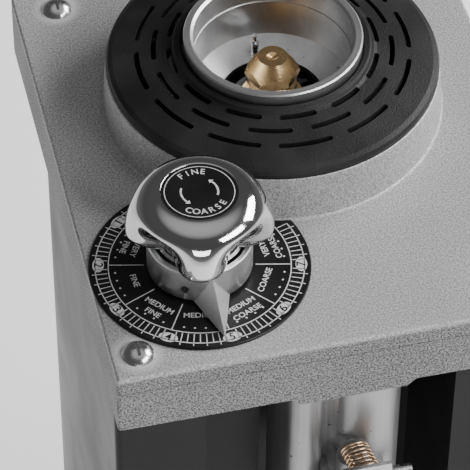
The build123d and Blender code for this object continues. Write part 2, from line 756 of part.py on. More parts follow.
def make_knob():
    low = plate_top + dial_thickness + collar_gap
    high = low + collar_height
    collar = rod(collar_radius, low, high, knob_x, knob_y)
    rim = [e for e in collar.edges().filter_by(GeomType.CIRCLE)]
    collar = fillet(rim, 0.6)
    collar -= rod(cup_radius, high - cup_depth, high + 1, knob_x, knob_y)
    left = on_circle(collar_radius - 0.3, pointer_angle - pointer_half_angle, knob_x, knob_y)
    right = on_circle(collar_radius - 0.3, pointer_angle + pointer_half_angle, knob_x, knob_y)
    tip = on_circle(pointer_reach, pointer_angle, knob_x, knob_y)
    apex = on_circle(collar_radius - 0.4, pointer_angle, knob_x, knob_y)
    root_point = on_circle(collar_radius - 1.4, pointer_angle, knob_x, knob_y)
    a = Vector(left[0], left[1], low)
    b = Vector(right[0], right[1], low)
    c = Vector(tip[0], tip[1], low)
    d = Vector(apex[0], apex[1], high - 2.6)
    e = Vector(root_point[0], root_point[1], low)
    f = Vector(root_point[0], root_point[1], high - 3.2)
    sides = [(a, c, d), (c, b, d), (a, e, b, c), (e, a, f), (a, d, f), (b, e, f), (d, b, f)]
    faces = [Face(Wire.make_polygon(list(points), close=True)) for points in sides]
    collar += Solid(Shell(faces))
    collar -= rod(adjust_radius, low - 1, high + 1, knob_x, knob_y)
    screws = []
    hole_z = low + 5.2
    for turn in (-30.4, 59.6, 149.6):
        angle = pointer_angle + turn
        frame = Pos(knob_x, knob_y, hole_z) * Rot(0, 0, angle) * Rot(0, 90, 0)
        collar -= frame * Pos(0, 0, 14) * Cylinder(set_screw_radius, 16)
        screws.append(frame * Pos(0, 0, 10.4) * Cylinder(set_screw_radius, 8.8))
    save("pointer_collar", collar)
    save("collar_set_screws", group(screws))
    make_knob_cap(high)


def scoop_edges(body, under):
    """The edges where the finger scoops cut into the cap's outer skin."""
    found = []
    for edge in body.edges():
        middle = edge.center()
        reach = hypot(middle.X - knob_x, middle.Y - knob_y)
        if edge.geom_type != GeomType.CIRCLE and reach > cup_radius and middle.Z > under + 0.6:
            found.append(edge)
    return found


def make_knob_cap(collar_top):
    """Mushroom cap: a round dome over a rounded underside, with finger scoops round the side."""
    equator = plate_top + cap_equator
    top = plate_top + cap_top
    rim = label_radius + label_rim
    stem = cup_radius - 1.6
    under = collar_top + 0.5
    low = collar_top - cup_depth + 0.6
    floor = top - 1.2
    dome = EllipticalCenterArc((rim, equator), cap_radius - rim, top - equator, 0, arc_size=90)
    skirt = EllipticalCenterArc((stem + 1, equator), cap_radius - stem - 1, equator - under, 270, arc_size=90)
    edge = [
        Line((0, low), (stem, low)), Line((stem, low), (stem, under)),
        Line((stem, under), (stem + 1, under)), skirt, dome,
        Line((rim, top), (label_radius, top)), Line((label_radius, top), (label_radius, floor)),
        Line((label_radius, floor), (0, floor)), Line((0, floor), (0, low))]
    body = Pos(knob_x, knob_y, 0) * revolve(Plane.XZ * make_face(edge), Axis.Z)
    for step in range(lobes):
        angle = scoop_first_angle + step * 360 / lobes
        x, y = on_circle(scoop_centre, angle, knob_x, knob_y)
        body -= Pos(x, y, plate_top + scoop_height) * Sphere(scoop_radius)
    body = fillet(scoop_edges(body, under), scoop_round)
    body -= rod(adjust_radius, low - 1, plate_top + 14, knob_x, knob_y)
    save("knob_cap", body)
    save("knob_label", rod(label_radius, floor, top - 0.15, knob_x, knob_y))


def chute_plan(front, half, depth):
    """The spout's outer section: a small rib on the left and a broad round on the right."""
    left_mid = -half + left_lobe_radius
    left_end = -half + 2 * left_lobe_radius
    right_start = half - 2 * right_lobe_half_width
    shoulder = front + left_lobe_radius
    back = front + depth
    return make_face([
        ThreePointArc((-half, shoulder), (left_mid, front), (left_end, shoulder)),
        Line((left_end, shoulder), (right_start, shoulder)),
        ThreePointArc((right_start, shoulder),
                      (half - right_lobe_half_width, front + left_lobe_radius - right_lobe_bulge - 1.2),
                      (half, shoulder)),
        Line((half, shoulder), (half, back)), Line((half, back), (-half, back)),
        Line((-half, back), (-half, shoulder))])


def spring_frame():
    """The spring's seat on the chute, with its axis as local Z, square to the thumb plate."""
    return Pos(clamp_x, chute_front - 0.6, spring_z) * Rot(90 - thumb_lean, 0, 0)


def make_chute():
    """The outlet casting: a flat-backed spout that takes the duct at its top and drops straight."""
    top = plate_under - 1.0
    body = Pos(0, 0, chute_bottom) * extrude(chute_plan(chute_front, chute_half_width, chute_depth),
                                             top - chute_bottom)
    inner_front = chute_front + left_lobe_radius + chute_wall - 1.0
    half = chute_half_width - chute_wall
    body -= box(-half, half, inner_front, chute_back - chute_wall, chute_bottom - 1, top - chute_wall)
    low = chamber_bottom + 1.0
    body -= box(-outlet_width / 2, outlet_width / 2, chute_back - chute_wall - 1, chute_back + 1,
                low, low + outlet_height - 1)
    for side in (-1, 1):
        x = clamp_x + side * (clamp_width / 2 + body_gap + ear_thickness / 2)
        ear = Pos(x, clamp_pin_y, clamp_pin_z) * Rot(0, 90, 0) * Cylinder(ear_round, ear_thickness)
        ear += box(x - ear_thickness / 2, x + ear_thickness / 2, clamp_pin_y,
                   chute_front + left_lobe_radius + 1, clamp_pin_z - ear_round, clamp_pin_z + ear_round)
        body += ear
    body += spring_frame() * Pos(0, 0, -4) * Cylinder(spring_radius + 1.2, 8)
    body -= Pos(clamp_x, clamp_pin_y, clamp_pin_z) * Rot(0, 90, 0) * Cylinder(clamp_pin_radius, 60)
    save("chute", body)
    pin_length = clamp_width + 2 * ear_thickness + 2 * body_gap + 14
    pin = Pos(clamp_x + 3, clamp_pin_y, clamp_pin_z) * Rot(0, 90, 0) * Cylinder(
        clamp_pin_radius, pin_length)
    save("clamp_pin", pin)
    right = clamp_x + clamp_width / 2 + body_gap + ear_thickness
    clips = []
    for x in (right + 0.7, clamp_x - clamp_width / 2 - body_gap - ear_thickness - 0.7):
        frame = Pos(x, clamp_pin_y, clamp_pin_z) * Rot(0, 90, 0)
        clips.append(frame * (Cylinder(3.4, 1.0) - Cylinder(clamp_pin_radius, 3)))
    save("clamp_pin_clips", group(clips))


def make_clamp():
    """Bent steel lever: thumb plate above the pin, jaw below it, one hub round the pin."""
    half = clamp_width / 2
    hub = Pos(clamp_x, clamp_pin_y, clamp_pin_z) * Rot(0, 90, 0) * Cylinder(clamp_hub_radius, clamp_width)
    front = clamp_pin_y - thumb_reach
    body = hub + box(clamp_x - half, clamp_x + half, front, clamp_pin_y,
                     clamp_pin_z - clamp_sheet / 2, clamp_pin_z + clamp_sheet / 2)
    thumb = Pos(0, 0, thumb_height / 2) * Box(clamp_width + 4, clamp_sheet, thumb_height)
    body += Pos(clamp_x, front, clamp_pin_z - 1) * Rot(-thumb_lean, 0, 0) * thumb
    jaw_y = clamp_pin_y - clamp_hub_radius + clamp_sheet / 2
    body += box(clamp_x - half, clamp_x + half, jaw_y - clamp_sheet / 2, jaw_y + clamp_sheet / 2,
                clamp_pin_z - jaw_length, clamp_pin_z)
    body -= Pos(clamp_x, clamp_pin_y, clamp_pin_z) * Rot(0, 90, 0) * Cylinder(
        clamp_pin_radius + running_fit, clamp_width + 4)
    save("clamp_lever", body)
    pad_back = chute_front - body_gap
    pad = box(clamp_x - half, clamp_x + half, jaw_y + clamp_sheet / 2, pad_back,
              clamp_pin_z - jaw_length, clamp_pin_z - jaw_length + 14)
    save("clamp_pad", pad)
    lean = radians(thumb_lean)
    to_plate = (chute_front - 0.6 - front) * cos(lean) + (clamp_pin_z - 1 - spring_z) * sin(lean)
    length = to_plate - clamp_sheet / 2 - 2 * spring_wire - 0.3
    coil = Helix(pitch=length / spring_coils, height=length, radius=spring_radius)
    wire = sweep(Plane(coil @ 0, z_dir=coil % 0) * Circle(spring_wire), path=coil)
    save("clamp_spring", spring_frame() * Pos(0, 0, spring_wire + 0.1) * wire)


def make_switch():
    half_w = switch_width / 2
    half_h = switch_height / 2
    y = body_front
    frame = box(switch_x - half_w, switch_x + half_w, y - 1.8, y, switch_z - half_h, switch_z + half_h)
    frame += box(switch_x - half_w + 1, switch_x + half_w - 1, y, y + 22,
                 switch_z - half_h + 1, switch_z + half_h - 1)
    frame -= box(switch_x - half_w + 3, switch_x + half_w - 3, y - 3, y + 12,
                 switch_z - half_h + 3, switch_z + half_h - 3)
    pivot = Pos(switch_x, y + 4.4, switch_z) * Rot(0, 90, 0)
    frame -= pivot * Cylinder(trunnion_radius + running_fit, 2 * half_w - 3)
    save("switch_frame", frame)
    depth = 6.5
    tall = half_h - 3.6
    outline = make_face(Polyline((0, -tall, -1.6), (0, 0, 0.0), (0, tall, -1.6),
                                 (0, tall - 1.2, -depth), (0, -tall + 1.2, -depth), close=True))
    prism = Pos(-(half_w - 3.4), 0, 0) * extrude(outline, 2 * (half_w - 3.4), dir=(1, 0, 0))
    prism = Pos(0, 0, 4.4) * prism
    placed = Pos(switch_x, y + 4.4, switch_z) * Rot(90 + rocker_tilt, 0, 0) * prism
    placed += pivot * Cylinder(trunnion_radius, 2 * half_w - 4)
    save("switch_rocker", placed)


def make_electrics():
    x, y = 42.0, axis_y + 18
    body = rod(17.5, base_top, base_top + 74, x, y)
    save("capacitor", fillet(body.edges(), 1.5))
    block = box(-38, 10, axis_y + 30, axis_y + 50, base_top, base_top + 16)
    for step in range(5):
        block -= rod(2.6, base_top + 8, base_top + 20, -33 + 9.5 * step, axis_y + 40)
    save("terminal_block", block)
    frame = Pos(0, axis_y, gland_z) * Rot(0, 0, gland_angle) * Rot(0, 90, 0)
    inner = half_width - sheet
    gland = frame * Pos(0, 0, half_width + 4) * Cylinder(gland_radius, 20)
    hexes = frame * Pos(0, 0, half_width + 0.6) * extrude(RegularPolygon(11.0, 6), 4.0)
    locknut = frame * Pos(0, 0, inner - 4.8) * extrude(RegularPolygon(10.5, 6), 4.0)
    gland = gland + hexes + locknut
    gland -= frame * Pos(0, 0, half_width + 4) * Cylinder(cable_radius, 40)
    save("cable_gland", gland)


make_base()
make_top_plate()
make_plate_screws()
make_chassis()
make_shell()
make_recess_panel()
make_throat()
make_burrs()
make_chamber()
make_carrier()
make_motor_shaft(make_shaft_nuts())
make_cover()
make_motor()
make_adjuster()
make_dial()
make_knob()
make_chute()
make_clamp()
make_switch()
make_electrics()
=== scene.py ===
import json
from math import cos, hypot, pi, radians, sin

import bmesh
import bpy
from mathutils import Matrix, Vector


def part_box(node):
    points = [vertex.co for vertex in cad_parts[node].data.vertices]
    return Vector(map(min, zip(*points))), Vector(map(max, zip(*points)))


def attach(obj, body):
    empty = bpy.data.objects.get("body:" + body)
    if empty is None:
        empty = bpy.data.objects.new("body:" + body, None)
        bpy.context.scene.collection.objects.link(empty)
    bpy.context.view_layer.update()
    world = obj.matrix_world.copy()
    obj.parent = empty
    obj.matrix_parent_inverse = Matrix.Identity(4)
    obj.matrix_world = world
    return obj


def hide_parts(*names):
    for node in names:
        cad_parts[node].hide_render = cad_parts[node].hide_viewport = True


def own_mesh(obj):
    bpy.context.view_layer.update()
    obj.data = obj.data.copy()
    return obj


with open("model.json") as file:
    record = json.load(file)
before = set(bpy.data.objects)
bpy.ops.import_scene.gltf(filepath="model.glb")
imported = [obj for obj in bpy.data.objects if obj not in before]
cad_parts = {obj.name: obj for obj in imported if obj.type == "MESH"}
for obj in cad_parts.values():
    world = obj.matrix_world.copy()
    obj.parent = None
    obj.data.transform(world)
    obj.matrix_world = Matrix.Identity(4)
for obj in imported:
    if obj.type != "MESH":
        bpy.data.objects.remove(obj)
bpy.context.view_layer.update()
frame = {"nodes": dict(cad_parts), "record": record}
nodes = frame["nodes"]
print("stage: frame loaded,", len(nodes), "nodes")


def centreOf(node):
    low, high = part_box(node)
    return (low + high) / 2


def feed(tree, socket, value):
    if isinstance(value, Wire):
        tree.links.new(value.socket, socket)
    elif hasattr(value, "__len__") and len(value) == 3 and socket.type == "RGBA":
        socket.default_value = (*value, 1.0)
    else:
        socket.default_value = value


# a shader socket that can be used in plain arithmetic
class Wire:
    def __init__(self, tree, socket):
        self.tree = tree
        self.socket = socket

    def maths(self, kind, first, second=None):
        node = self.tree.nodes.new("ShaderNodeMath")
        node.operation = kind
        feed(self.tree, node.inputs[0], first)
        if second is not None:
            feed(self.tree, node.inputs[1], second)
        return Wire(self.tree, node.outputs[0])

    def __add__(self, other):
        return self.maths("ADD", self, other)

    def __radd__(self, other):
        return self.maths("ADD", other, self)

    def __sub__(self, other):
        return self.maths("SUBTRACT", self, other)

    def __rsub__(self, other):
        return self.maths("SUBTRACT", other, self)

    def __mul__(self, other):
        return self.maths("MULTIPLY", self, other)

    def __rmul__(self, other):
        return self.maths("MULTIPLY", other, self)

    def __truediv__(self, other):
        return self.maths("DIVIDE", self, other)

    def __rtruediv__(self, other):
        return self.maths("DIVIDE", other, self)

    def __pow__(self, other):
        return self.maths("POWER", self, other)


# one material with its nodes; a finish function fills it in
class Finish:
    def __init__(self, name):
        self.material = bpy.data.materials.new(name)
        self.material.use_nodes = True
        self.tree = self.material.node_tree
        self.tree.nodes.clear()
        self.out = self.tree.nodes.new("ShaderNodeOutputMaterial")
        self.skin = self.tree.nodes.new("ShaderNodeBsdfPrincipled")
        self.tree.links.new(self.skin.outputs[0], self.out.inputs["Surface"])
        self.place = self.node("ShaderNodeTexCoord", output="Object")

    def node(self, kind, settings=None, sockets=None, output=0):
        made = self.tree.nodes.new(kind)
        for key, value in (settings or {}).items():
            setattr(made, key, value)
        for key, value in (sockets or {}).items():
            feed(self.tree, made.inputs[key], value)
        return Wire(self.tree, made.outputs[output])

    def noise(self, scale, detail=3.0, rough=0.5, stretch=None):
        place = self.place
        if stretch:
            place = self.node("ShaderNodeMapping", sockets={"Vector": place, "Scale": stretch})
        return self.node("ShaderNodeTexNoise", sockets={
            "Vector": place, "Scale": scale, "Detail": detail, "Roughness": rough}, output="Fac")

    def axes(self):
        split = self.tree.nodes.new("ShaderNodeSeparateXYZ")
        feed(self.tree, split.inputs[0], self.place)
        return [Wire(self.tree, made) for made in split.outputs]

    def spread(self, wire, low, high, newLow=0.0, newHigh=1.0):
        return self.node("ShaderNodeMapRange", sockets={
            "Value": wire, "From Min": low, "From Max": high, "To Min": newLow, "To Max": newHigh})

    def mix(self, factor, first, second):
        return self.node("ShaderNodeMix", {"data_type": "RGBA"}, {
            0: factor, 6: first, 7: second}, output=2)

    def bump(self, height, distance, strength=1.0):
        return self.node("ShaderNodeBump", sockets={
            "Height": height, "Distance": distance, "Strength": strength})

    def surface(self, **values):
        names = {"colour": "Base Color", "metal": "Metallic", "rough": "Roughness", "normal": "Normal",
                 "shine": "Specular IOR Level"}
        for key, value in values.items():
            feed(self.tree, self.skin.inputs[names[key]], value)
        return self.material


# round machining marks about an upright axis
def turned(finish, x, y, pitch):
    place = finish.axes()
    across = (place[0] - x) ** 2.0 + (place[1] - y) ** 2.0
    radius = across ** 0.5
    waver = finish.noise(900.0, 2.0) * (pitch * 0.4)
    return finish.node("ShaderNodeTexNoise", {"noise_dimensions": "2D"}, {
        "Vector": finish.node("ShaderNodeCombineXYZ", sockets={
            0: (radius + waver) / pitch, 1: place[2] / pitch}),
        "Scale": 1.0, "Detail": 2.0}, output="Fac")


burrAxis = centreOf("throat")
knobAxis = centreOf("adjusting_shaft")
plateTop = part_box("dial_plate")[0].z
lowPlate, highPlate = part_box("top_plate")

# the skirt colours are painted shade: darker copies of the plate's own grey for its sides
plateLook = {
    "light": (0.60, 0.60, 0.605), "dark": (0.27, 0.27, 0.275),
    "skirtPaintedShadeLight": (0.36, 0.36, 0.365), "skirtPaintedShadeDark": (0.04, 0.04, 0.041),
    "grainScale": 1500.0, "grainBump": 0.00020, "metal": 0.35,
    "smooth": 0.42, "dull": 0.54, "skirtDull": 0.10, "edgeLow": 0.0022, "edgeHigh": 0.0008,
    "haloIn": 0.0068, "haloOut": 0.0100, "halo": (0.80, 0.80, 0.80), "haloShare": 0.6,
}


# the middle of each plate screw, one in each quarter of the plate
def screwPlaces():
    points = [vertex.co for vertex in nodes["plate_screws"].data.vertices]
    places = []
    for back in (-1, 1):
        for right in (-1, 1):
            across = [p.x for p in points if p.x * right > 0 and p.y * back > 0]
            along = [p.y for p in points if p.x * right > 0 and p.y * back > 0]
            places.append(((min(across) + max(across)) / 2, (min(along) + max(along)) / 2))
    return places


def castSilver():
    look = plateLook
    made = Finish("castSilver")
    grain = made.noise(look["grainScale"], 3.0, 0.65)
    cloud = made.noise(38.0, 3.0)
    speck = made.spread(grain, 0.40, 0.62)
    x, y, z = made.axes()
    onTop = made.spread(z, plateTop - look["edgeLow"], plateTop - look["edgeHigh"])
    top = made.mix(speck, look["dark"], look["light"])
    # painted shade: below the top face the skirt takes the darker skirt colours, blended in by onTop
    side = made.mix(speck, look["skirtPaintedShadeDark"], look["skirtPaintedShadeLight"])
    colour = made.mix(onTop, side, top)
    halo = None
    for sx, sy in screwPlaces():
        away = ((x - sx) ** 2.0 + (y - sy) ** 2.0) ** 0.5
        one = made.spread(away, look["haloIn"], look["haloOut"], 1.0, 0.0)
        halo = one if halo is None else halo + one
    halo = halo * onTop
    colour = made.mix(halo * look["haloShare"], colour, look["halo"])
    rough = made.spread(cloud, 0.3, 0.7, look["smooth"], look["dull"]) + (1.0 - onTop) * look["skirtDull"]
    return made.surface(colour=colour, metal=look["metal"], rough=rough,
                        normal=made.bump(grain, look["grainBump"], 0.8))


sheetLook = {"colour": (0.006, 0.006, 0.0065), "dust": (0.014, 0.014, 0.0145),
             "smooth": 0.30, "dull": 0.42, "shine": 0.15, "peel": 0.00006}


def blackSheet():
    made = Finish("blackSheet")
    cloud = made.noise(20.0, 4.0)
    peel = made.noise(700.0, 2.0)
    colour = made.mix(made.spread(cloud, 0.45, 0.75), sheetLook["colour"], sheetLook["dust"])
    return made.surface(colour=colour, shine=sheetLook["shine"],
                        rough=made.spread(cloud, 0.3, 0.7, sheetLook["smooth"], sheetLook["dull"]),
                        normal=made.bump(peel, sheetLook["peel"], 0.6))


plasticLook = {"colour": (0.011, 0.011, 0.012), "worn": (0.022, 0.022, 0.023), "grain": 0.00020,
               "shine": 0.25}


def blackPlastic(name="blackPlastic", scale=1600.0, rough=0.42):
    made = Finish(name)
    grain = made.noise(scale, 2.0, 0.6)
    cloud = made.noise(45.0, 3.0)
    colour = made.mix(made.spread(cloud, 0.4, 0.7), plasticLook["colour"], plasticLook["worn"])
    return made.surface(colour=colour, rough=made.spread(cloud, 0.3, 0.7, rough - 0.05, rough + 0.06),
                        shine=plasticLook["shine"], normal=made.bump(grain, plasticLook["grain"], 0.9))


poreColour = (0.05, 0.05, 0.05)


# turned or cast light metal, with pores
def rawMetal(name, colour, stain, rough, pores, axis=None, marks=0.00005, pitch=0.0006):
    made = Finish(name)
    cloud = made.noise(60.0, 5.0, 0.6)
    fine = made.noise(1300.0, 2.0)
    pit = made.noise(520.0, 1.0)
    hole = made.spread(pit, 0.75, 0.81, 0.0, pores)
    height = fine * 0.35
    if axis:
        rings = turned(made, axis[0], axis[1], pitch)
        height = height + rings
    shade = made.mix(made.spread(cloud, 0.35, 0.7), colour, stain)
    shade = made.mix(hole, shade, poreColour)
    return made.surface(colour=shade, metal=made.spread(hole, 0.0, 1.0, 1.0, 0.2),
                        rough=made.spread(cloud, 0.3, 0.7, rough - 0.06, rough + 0.08),
                        normal=made.bump(height - hole, marks, 0.8))


# steel with fine drawn lines along one axis
def lined(name, colour, rough, stretch, marks=0.00002):
    made = Finish(name)
    grain = made.noise(900.0, 3.0, 0.6, stretch)
    cloud = made.noise(50.0, 3.0)
    shade = made.mix(made.spread(cloud, 0.3, 0.75), colour, tuple(c * 0.78 for c in colour))
    return made.surface(colour=shade, metal=1.0, normal=made.bump(grain, marks, 0.7),
                        rough=made.spread(grain, 0.3, 0.7, rough - 0.05, rough + 0.08))


chromeLook = {"colour": (0.64, 0.64, 0.65), "clean": 0.035, "smeared": 0.12, "wave": 0.0001}


def polished():
    made = Finish("chromePlate")
    smear = made.noise(70.0, 4.0, 0.6)
    wave = made.noise(28.0, 1.0)
    return made.surface(colour=chromeLook["colour"], metal=1.0,
                        rough=made.spread(smear, 0.35, 0.75, chromeLook["clean"], chromeLook["smeared"]),
                        normal=made.bump(wave, chromeLook["wave"], 0.15))


castingLook = {"light": (0.40, 0.40, 0.405), "dark": (0.20, 0.20, 0.205), "streak": (0.50, 0.50, 0.50),
               "pit": (0.04, 0.04, 0.04), "metal": 0.85, "smooth": 0.34, "dull": 0.50}


# sawn and sanded casting, with streaks down its length
def streakedCasting():
    look = castingLook
    made = Finish("streakedCasting")
    streak = made.noise(500.0, 4.0, 0.6, (1.0, 1.0, 0.03))
    cloud = made.noise(35.0, 4.0, 0.6, (1.0, 1.0, 0.35))
    pit = made.spread(made.noise(420.0, 1.0), 0.73, 0.79)
    shade = made.mix(made.spread(cloud, 0.3, 0.7), look["light"], look["dark"])
    shade = made.mix(made.spread(streak, 0.3, 0.7, 0.0, 0.5), shade, look["streak"])
    shade = made.mix(pit, shade, look["pit"])
    return made.surface(colour=shade, metal=look["metal"],
                        rough=made.spread(streak, 0.3, 0.7, look["smooth"], look["dull"]),
                        normal=made.bump(streak - pit, 0.00006, 0.8))


brassLook = {"colour": (0.90, 0.64, 0.33), "tarnish": (0.66, 0.42, 0.20), "smooth": 0.18, "dull": 0.32}


def brassMetal():
    made = Finish("turnedBrass")
    cloud = made.noise(160.0, 4.0, 0.6)
    rings = turned(made, burrAxis.x, burrAxis.y, 0.00035)
    colour = made.mix(made.spread(cloud, 0.4, 0.75), brassLook["colour"], brassLook["tarnish"])
    return made.surface(colour=colour, metal=1.0, normal=made.bump(rings, 0.00003, 0.7),
                        rough=made.spread(cloud, 0.3, 0.7, brassLook["smooth"], brassLook["dull"]))


rubberLook = {"dark": (0.012, 0.012, 0.012), "dusty": (0.03, 0.03, 0.03)}


def rubber():
    made = Finish("rubber")
    grain = made.noise(800.0, 3.0)
    colour = made.mix(made.noise(60.0, 3.0), rubberLook["dark"], rubberLook["dusty"])
    return made.surface(colour=colour, rough=made.spread(grain, 0.3, 0.7, 0.75, 0.9),
                        normal=made.bump(grain, 0.00008, 0.7))


inkLook = {"black": (0.008, 0.008, 0.008), "blackWorn": (0.014, 0.014, 0.014),
           "whiteWorn": (0.50, 0.50, 0.50), "white": (0.74, 0.74, 0.74)}


def dialBlack():
    made = Finish("dialBlack")
    grain = made.noise(2200.0, 2.0)
    cloud = made.noise(60.0, 3.0)
    colour = made.mix(made.spread(cloud, 0.35, 0.7), inkLook["black"], inkLook["blackWorn"])
    return made.surface(colour=colour, rough=made.spread(cloud, 0.3, 0.7, 0.30, 0.40),
                        shine=0.2, normal=made.bump(grain, 0.00002, 0.5))


def dialWhite():
    made = Finish("dialWhite")
    wear = made.noise(900.0, 3.0, 0.7)
    colour = made.mix(made.spread(wear, 0.35, 0.62), inkLook["whiteWorn"], inkLook["white"])
    return made.surface(colour=colour, rough=made.spread(wear, 0.3, 0.7, 0.45, 0.6))


# stacked sheets or wound wire, as lines across the height
def stacked(name, colour, gapColour, pitch, metal, rough):
    made = Finish(name)
    height = made.axes()[2] / pitch
    waver = made.noise(300.0, 2.0) * 0.5
    line = made.node("ShaderNodeMath", {"operation": "PINGPONG"}, {0: height + waver, 1: 0.5})
    colour = made.mix(made.spread(line, 0.05, 0.2), gapColour, colour)
    cloud = made.noise(90.0)
    return made.surface(colour=colour, metal=metal, normal=made.bump(line, pitch * 0.3, 0.8),
                        rough=made.spread(cloud, 0.3, 0.7, rough, rough + 0.12))


finishes = {
    "base_paint": blackPlastic("basePaint", 900.0, 0.45),
    "sheet_black": blackSheet(),
    "cast_silver": castSilver(),
    "rubber_black": rubber(),
    "steel_zinc": lined("zincSteel", (0.60, 0.61, 0.62), 0.36, (1.0, 1.0, 0.1)),
    "screw_steel": lined("brightSteel", (0.78, 0.78, 0.78), 0.20, (0.2, 1.0, 1.0), 0.00001),
    "raw_aluminium": rawMetal("rawAluminium", (0.70, 0.70, 0.70), (0.50, 0.50, 0.51), 0.36, 0.9,
                              (burrAxis.x, burrAxis.y)),
    "shield_aluminium": rawMetal("shieldAluminium", (0.58, 0.58, 0.59), (0.42, 0.42, 0.43), 0.5, 0.7),
    "burr_steel": lined("groundSteel", (0.58, 0.58, 0.59), 0.28, (1.0, 0.15, 1.0)),
    "black_plastic": blackPlastic(),
    "dark_carrier": rawMetal("darkCarrier", (0.10, 0.10, 0.105), (0.05, 0.05, 0.052), 0.42, 0.4,
                             (burrAxis.x, burrAxis.y)),
    "core_steel": stacked("coreSteel", (0.32, 0.32, 0.33), (0.04, 0.04, 0.04), 0.0008, 1.0, 0.40),
    "copper_wire": stacked("copperWire", (0.72, 0.36, 0.18), (0.10, 0.04, 0.02), 0.0011, 1.0, 0.28),
    "brass": brassMetal(),
    "dial_black": dialBlack(),
    "chrome": polished(),
    "satin_collar": rawMetal("satinCollar", (0.86, 0.86, 0.86), (0.74, 0.74, 0.75), 0.34, 0.0,
                             (knobAxis.x, knobAxis.y), 0.00002, 0.0004),
    "white_print": dialWhite(),
    "spring_wire": lined("springWire", (0.82, 0.60, 0.42), 0.20, (1.0, 1.0, 1.0), 0.00001),
}
for entry in frame["record"]["subparts"]:
    mesh = nodes[entry["node"]].data
    mesh.materials.clear()
    mesh.materials.append(finishes[entry["material_slot"]])
nodes["chute"].data.materials[0] = streakedCasting()
# painted shade: the collar set screws take the near-black rubber finish so they read as the dark holes
# they sit in
nodes["collar_set_screws"].data.materials[0] = rubber()
print("stage: finishes done,", len(finishes))


def newObject(name, mesh, finish, body):
    made = bpy.data.objects.new(name, mesh)
    bpy.context.scene.collection.objects.link(made)
    mesh.materials.clear()
    mesh.materials.append(finish)
    if body:
        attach(made, body)
    return made


# the mesh that a text or curve object makes
def meshFrom(holder):
    bpy.context.view_layer.update()
    shaped = holder.evaluated_get(bpy.context.evaluated_depsgraph_get())
    return bpy.data.meshes.new_from_object(shaped)


# a flat piece of print gathers here as faces, then becomes one mesh
class Print:
    def __init__(self, x, y, z, thick):
        self.centre = Vector((x, y, z))
        self.thick = thick
        self.points = []
        self.faces = []
        self.keep = None

    def patch(self, outline):
        spots = [(self.centre.x + p[0], self.centre.y + p[1]) for p in outline]
        if self.keep and not all(self.keep(*spot) for spot in spots):
            return
        start = len(self.points)
        self.points += [self.centre + Vector((p[0], p[1], self.thick)) for p in outline]
        self.faces.append(list(range(start, len(self.points))))

    def arc(self, inner, outer, first, last, step=2.0):
        count = max(1, round((last - first) / step))
        for part in range(count):
            a = radians(first + (last - first) * part / count)
            b = radians(first + (last - first) * (part + 1) / count)
            self.patch([(inner * cos(a), inner * sin(a)), (outer * cos(a), outer * sin(a)),
                        (outer * cos(b), outer * sin(b)), (inner * cos(b), inner * sin(b))])

    def spoke(self, inner, outer, angle, width):
        turn = radians(angle)
        along = Vector((cos(turn), sin(turn)))
        across = Vector((-along.y, along.x)) * width / 2
        corners = [along * inner - across, along * outer - across, along * outer + across,
                   along * inner + across]
        self.patch([tuple(corner) for corner in corners])

    def oval(self, radius, angle, long, short, sides=28):
        turn = radians(angle)
        along = Vector((cos(turn), sin(turn)))
        across = Vector((-along.y, along.x))
        points = []
        for part in range(sides):
            t = 2 * pi * part / sides
            points.append(tuple(along * (radius + short / 2 * sin(t)) + across * long / 2 * cos(t)))
        self.patch(points[::-1])

    def words(self, text, radius, angle, size, facing=90.0):
        curve = bpy.data.curves.new("lettering", "FONT")
        curve.body = text
        curve.size = size
        curve.align_x = "CENTER"
        curve.align_y = "CENTER"
        curve.offset = size * 0.012
        holder = bpy.data.objects.new("lettering", curve)
        bpy.context.scene.collection.objects.link(holder)
        flat = meshFrom(holder)
        turn = Matrix.Rotation(radians(angle + facing), 4, "Z")
        shift = Vector((radius * cos(radians(angle)), radius * sin(radians(angle)), 0))
        for polygon in flat.polygons:
            outline = [turn @ flat.vertices[i].co + shift for i in polygon.vertices]
            self.patch([(p.x, p.y) for p in outline])
        bpy.data.objects.remove(holder)
        bpy.data.curves.remove(curve)
        bpy.data.meshes.remove(flat)

    def finish(self, name, finish, body):
        mesh = bpy.data.meshes.new(name)
        mesh.from_pydata([tuple(p) for p in self.points], [], self.faces)
        mesh.update()
        work = bmesh.new()
        work.from_mesh(mesh)
        for face in work.faces:
            if face.normal.z < 0:
                face.normal_flip()
        work.to_mesh(mesh)
        work.free()
        return newObject(name, mesh, finish, body)


dialLook = {
    "thick": 0.00005, "first": -264.5, "step": 36.0, "last": 8, "ringIn": 0.0328, "ringOut": 0.0375,
    "line": 0.0004, "separatorIn": 0.0200, "numberRadius": 0.0364, "oval": (0.0070, 0.0042),
    "numberSize": 0.0046, "tickIn": 0.0333, "tickLong": 0.0389, "tickShort": 0.0375, "tickWidth": 0.00035,
    "dotRadius": 0.0305, "dotSize": 0.0008, "bossClear": 0.0656,
    "wordRadii": (0.0285, 0.0245), "wordSize": 0.0032,
    "words": (("EXTRA", "FINE"), ("VERY", "FINE"), ("FINE",), ("MEDIUM", "FINE"), ("MEDIUM",),
              ("MEDIUM", "COARSE"), ("COARSE",), ("VERY", "COARSE")),
}


def outsideBoss(x, y):
    return hypot(x - burrAxis.x, y - burrAxis.y) > dialLook["bossClear"]


